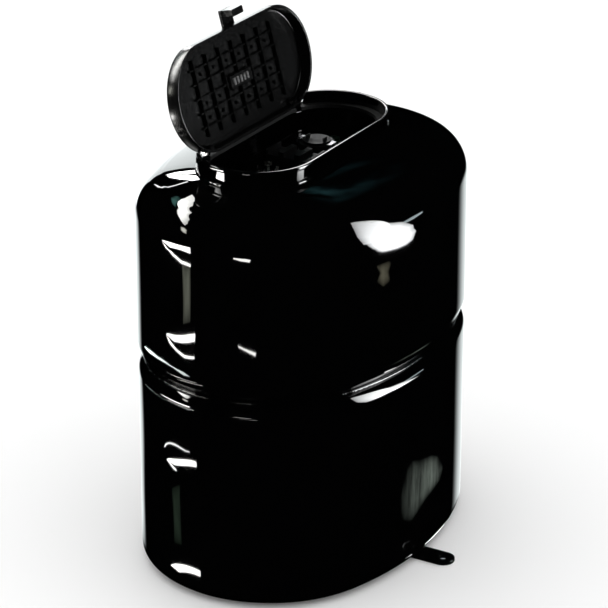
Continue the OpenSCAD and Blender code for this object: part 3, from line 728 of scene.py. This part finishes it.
def refined(outline, step=2.0):
    """Corners of an outline of directions, with more of them along its long sides."""
    corners = []
    for i, (a, e) in enumerate(outline):
        b, f = outline[(i + 1) % len(outline)]
        count = max(1, round(math.hypot(b - a, f - e) / step))
        corners += [(a + (b - a) * k / count, e + (f - e) * k / count) for k in range(count)]
    return corners


# How far in from its edge a fading card reaches each part of the way to full strength
FADE = ((1.0, 0.0), (0.86, 0.3), (0.72, 0.6), (0.4, 1.0))


def light_card(name, point, distance, outline, strength, colour=(1.0, 1.0, 1.0), fade=1.0, mottle=0.0,
               heart=None):
    """A glowing card that only the gloss sees. Its corners stand in the given directions
    (azimuth, elevation) from a point of the object, in millimetres, at a distance in metres;
    at its edge the glow is down to the given part of its strength, which is full round its
    heart, in the middle if no direction is given for it."""
    mat, tree, shader = material("glow_" + name)
    tree.nodes.remove(shader)
    glow = tree.nodes.new("ShaderNodeEmission")
    glow.inputs["Color"].default_value = (*colour, 1)
    attribute = tree.nodes.new("ShaderNodeAttribute")
    attribute.attribute_name = "level"
    level = attribute.outputs["Fac"]
    if mottle:
        uneven = tree.nodes.new("ShaderNodeMath")
        uneven.operation = "MULTIPLY"
        tree.links.new(level, uneven.inputs[0])
        cloud = noise(tree, 14, 6, (1, 1, 0.4), 0.7)
        tree.links.new(ramp(tree, cloud, 1.0 - mottle, 1.0, 0.35, 0.65), uneven.inputs[1])
        level = uneven.outputs["Value"]
    tree.links.new(level, glow.inputs["Strength"])
    tree.links.new(glow.outputs["Emission"], tree.nodes["Material Output"].inputs["Surface"])
    rim = refined(outline)
    n = len(rim)
    heart_a, heart_e = heart or (sum(a for a, e in rim) / n, sum(e for a, e in rim) / n)

    def shrunk(part):
        return [Vector(point) * MM
                + direction(heart_a + (a - heart_a) * part, heart_e + (e - heart_e) * part) * distance
                for a, e in rim]

    if fade < 1:
        points, faces = loft([shrunk(part) for part, _ in FADE], cap_last=True)
        levels = [strength * (fade + (1 - fade) * way) for _, way in FADE for _ in range(n)]
    else:
        points, faces, levels = shrunk(1.0), [tuple(range(n))], [strength] * n
    mesh = bpy.data.meshes.new("card_" + name)
    mesh.from_pydata(points, [], faces)
    mesh.attributes.new("level", "FLOAT", "POINT").data.foreach_set("value", levels)
    mesh.materials.append(mat)
    obj = bpy.data.objects.new("card_" + name, mesh)
    scene.collection.objects.link(obj)
    obj.visible_camera = obj.visible_diffuse = obj.visible_shadow = False
    obj.visible_transmission = obj.visible_volume_scatter = False


floor()
camera()
world()
# Reflections on the front, the top and the left wall, from the top down
light_card("half_moon", (-60, -110, 315), 1.5, [
    (27.4, 40.9), (29.8, 39.6), (31.6, 38.4), (30.3, 32.4), (29.6, 26.4), (30.2, 18.75), (31.8, 10.8),
    (35.5, 3.1), (40.4, -5.0), (43.5, -11.5), (47.9, -17.94), (51.3, -20.9), (53.0, -21.4),
    (51.1, -21.85), (47.4, -22.12), (42.0, -22.35), (36.4, -22.48), (33.0, -22.54), (30.5, -22.48),
    (28.2, -22.3), (25.0, -21.2), (21.8, -18.68), (18.0, -7.17), (15.6, 4.5), (16.1, 14.05),
    (18.0, 23.3), (21.4, 32.4)
], 26.0, (0.97, 0.99, 1.0), fade=0.25, heart=(35, -22.2))
light_card("half_moon_tip", (-25, -115, 315), 1.5, [
    (40, -5.5), (45, -5.1), (51.4, -6.6), (52, -9.5), (46.6, -10.9), (41.8, -10.4)
], 5.0, (0.8, 0.95, 1.0))
light_card("brown_column", (-65, -110, 285), 1.0, [
    (30, -22.3), (37, -21.9), (38.4, -22.1), (37, -22.8), (38, -23.5), (34, -24), (30.5, -23.6),
    (32, -22.9)
], 1.6, (1.0, 0.95, 0.68), fade=0.2, mottle=0.7)
light_card("left_sheet", (-100, 70, 340), 2.5, [
    (121, -18), (142, -18), (143.2, -10.6), (143, -4.2), (142.6, 5.2), (136.6, 12.2), (133.7, 14.1),
    (131.2, 17.6), (128, 24), (121, 24)
], 3.0, (0.95, 1.0, 1.0))
light_card("rim_top", (-10, -45, 363), 2.5, [(118, 19), (123.5, 19), (123.5, 28.5), (118, 28.5)], 7.0)
light_card("left_arm_upper", (-100, 40, 350), 1.5, [
    (135.9, 16.4), (134.2, 17.8), (132.6, 19.8), (130, 22.5), (131.5, 24.5), (133.5, 22.5), (134.9, 19)
], 24.0)
light_card("left_arm_lower", (-105, 40, 345), 1.5, [
    (135.9, 17.6), (134.2, 22), (133, 25), (131, 27.5), (132, 29.5), (134.5, 28.4), (135.9, 24.2),
    (136.3, 20)
], 24.0)
light_card("left_thin", (-115, 55, 340), 1.5, [
    (145, 15.2), (143.3, 22), (142, 24.6), (137.5, 27.5), (134.5, 28), (134.7, 28.7), (137.8, 28.1),
    (142.6, 25.5), (145.8, 21.8)
], 9.0)
light_card("left_blob", (-145, 20, 335), 1.5, [
    (138, 37), (139, 41), (147, 46), (176, 52), (203, 45.5), (213, 37), (215, 31), (204, 36), (190, 39),
    (170, 43), (148, 40.6)
], 24.0, (1.0, 1.0, 0.97), fade=0.4, heart=(178, 45))
light_card("left_blob_tail", (-160, 15, 325), 1.5, [
    (-146.5, 25), (-143, 26.6), (-138, 24), (-134.7, 15), (-138.5, 15), (-142.6, 18)
], 12.0, (1.0, 1.0, 0.9), fade=0.3)
light_card("left_teal", (-140, 35, 340), 1.5, [
    (147, 34.2), (141.8, 35.1), (144.2, 38.6), (154.2, 41), (171.6, 41.5), (163.3, 38.3)
], 1.2, (0.4, 1.0, 0.9), fade=0.1)
light_card("seam_left", (-155, 35, 205), 1.2, [
    (159, -23.2), (172, -23.5), (186, -23.9), (198, -24.1), (210, -24.4), (222, -24.7), (229, -25.3),
    (222, -25.4), (209, -24.6), (197, -24.3), (185, -24.1), (170, -23.7)
], 13.0, (0.9, 1.0, 0.98))
light_card("seam_right", (-40, -115, 190), 1.2, [
    (63, -46), (78, -44), (85, -40), (99, -37), (98, -41), (75, -47.4)
], 7.0)
light_card("lower_patch", (-10, -115, 75), 0.9, [
    (47, -25.5), (51, -24.9), (57, -24.9), (66, -24.6), (72, -24.7), (77.5, -25.6), (74.7, -26.5),
    (67.5, -27.3), (61, -28), (56, -28.8), (51, -29.5), (45, -29.3), (43.4, -28.5), (43.3, -27.2)
], 1.1, (0.85, 1.0, 0.87), fade=0.0, mottle=0.9)
light_card("left_streak", (-165, 15, 270), 0.6, [
    (-141.3, -20.5), (-131, -20.5), (-132, -25.7), (-140, -25.6)
], 2.2, (0.95, 1.0, 0.8), fade=0.3, mottle=0.5)
light_card("left_low_streak", (-160, 25, 70), 0.6, [
    (-157.4, -24.7), (-146.4, -24.4), (-146.5, -30), (-156, -29.7)
], 0.5, (0.65, 1.0, 0.68), fade=0.3, mottle=0.6)
light_card("left_wave", (-160, 30, 130), 0.6, [
    (-167, -25.9), (-164.8, -25.65), (-161, -25.57), (-156.7, -25.66), (-150.5, -25.94), (-144, -26.35),
    (-138.4, -26.69), (-133.7, -26.79), (-133.9, -26.9), (-139, -26.81), (-144.8, -26.48),
    (-151.4, -26.09), (-157.4, -25.81), (-161, -25.73), (-163.9, -25.82), (-166.1, -26)
], 16.0)
light_card("left_hook", (-160, 30, 115), 0.6, [
    (-163.3, -25.92), (-160.4, -26.09), (-156.1, -26.49), (-152.1, -26.84), (-149.4, -27.11),
    (-151.2, -27.14), (-155.2, -26.84), (-159.4, -26.42), (-162.9, -26.05)
], 20.0)
UPPER_ARM = {
    310: [(-165.7, -20.9), (-160, -19.5), (-128, -14.8), (-129.5, -22.1), (-141, -21.9), (-155, -22)],
    235: [(-161, -23.1), (-156, -23.1), (-125.6, -23.7), (-125.7, -24.3), (-137, -24.1), (-150.5, -23.8)],
    115: [(-163.7, -25.5), (-158.7, -25.5), (-127, -26.2), (-127, -26.7), (-138.5, -26.5), (-152.6, -26.2)],
    25: [(-161, -27.5), (-156, -27.5), (-124, -28.1), (-124, -28.7), (-136, -28.5), (-150, -28.3)],
}
LOWER_ARM = {
    300: [(-165.8, -20.2), (-157.8, -21.6), (-151.3, -22.2), (-141.3, -22.8), (-129.9, -23), (-130, -23.3),
          (-141.4, -23.1), (-152, -22.4), (-160.6, -21.6)],
    225: [(-161.2, -22.3), (-153.2, -23.1), (-146.8, -23.7), (-137.1, -24.3), (-125.9, -24.6),
          (-125.9, -24.8), (-137.1, -24.6), (-147.5, -23.9), (-155.8, -23.2)],
}
TIPS = {
    310: [(-91.6, -21.1), (-82.7, -21.5), (-75, -21.9), (-76.1, -22.7), (-84.7, -22.4), (-91.2, -21.8)],
    230: [(-87, -23.7), (-80.4, -23.9), (-69.7, -24.1), (-70.6, -24.4), (-80.4, -24.1), (-86.1, -23.9)],
}

# Slanting cards that repeat down the left wall, each at its heights
STACKS = (("upper_arm", 20, 34.0, UPPER_ARM), ("lower_arm", 20, 30.0, LOWER_ARM), ("tip", -35, 24.0, TIPS))
for kind, y, strength, stack in STACKS:
    for height, outline in stack.items():
        light_card("%s_%d" % (kind, height), (-160, y, height), 0.6, outline, strength, (1.0, 0.99, 0.96))
